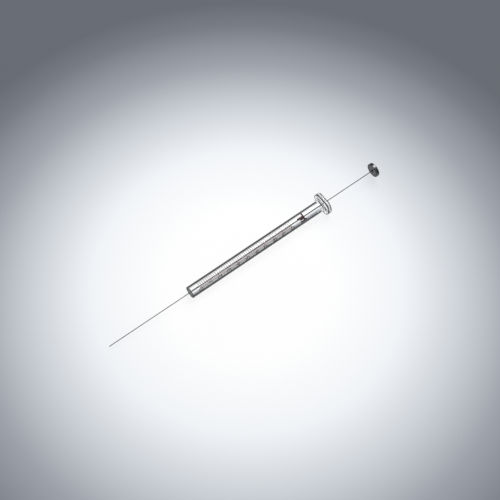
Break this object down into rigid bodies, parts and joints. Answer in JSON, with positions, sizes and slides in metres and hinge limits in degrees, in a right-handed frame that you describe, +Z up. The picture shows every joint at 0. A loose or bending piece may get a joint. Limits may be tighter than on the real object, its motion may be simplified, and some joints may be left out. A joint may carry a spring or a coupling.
{
  "type": "microsyringe",
  "caption": "Glass microlitre syringe: thick-walled tube with a fired scale and flatted finger flange, cemented steel needle, wire plunger and round thumb button, partly drawn.",
  "frame": {"origin": "centre of the barrel's needle-end face, on the common axis of barrel, needle and plunger", "axes": "+X along the axis from the needle towards the thumb button, +Z up and square to the flange flats, +Y square to both, across the lines of the scale, which lie about the top; the syringe lies on the flange's lower flat"},
  "size_m": [0.1752, 0.0128, 0.0106],
  "materials": {
    "clear_glass": "clear, fire-polished borosilicate glass",
    "needle_steel": "drawn stainless tube, satin",
    "cement": "set adhesive, dull translucent grey",
    "scale_enamel": "fired enamel, dark reddish brown",
    "wire_steel": "ground wire, satin",
    "button_metal": "turned, dark polished metal"
  },
  "bodies": {
    "barrel": {"barrel": "clear_glass", "needle": "needle_steel", "needle_cement": "cement", "scale_unit_marks": "scale_enamel", "scale_minor_marks": "scale_enamel"},
    "plunger": {"plunger_wire": "wire_steel", "thumb_button": "button_metal"}
  },
  "joints": [
    {"name": "plunger_slide", "type": "slide", "parent": "barrel", "child": "plunger", "axis": [1, 0, 0], "range_m": [-0.0171, 0.0429]}
  ]
}
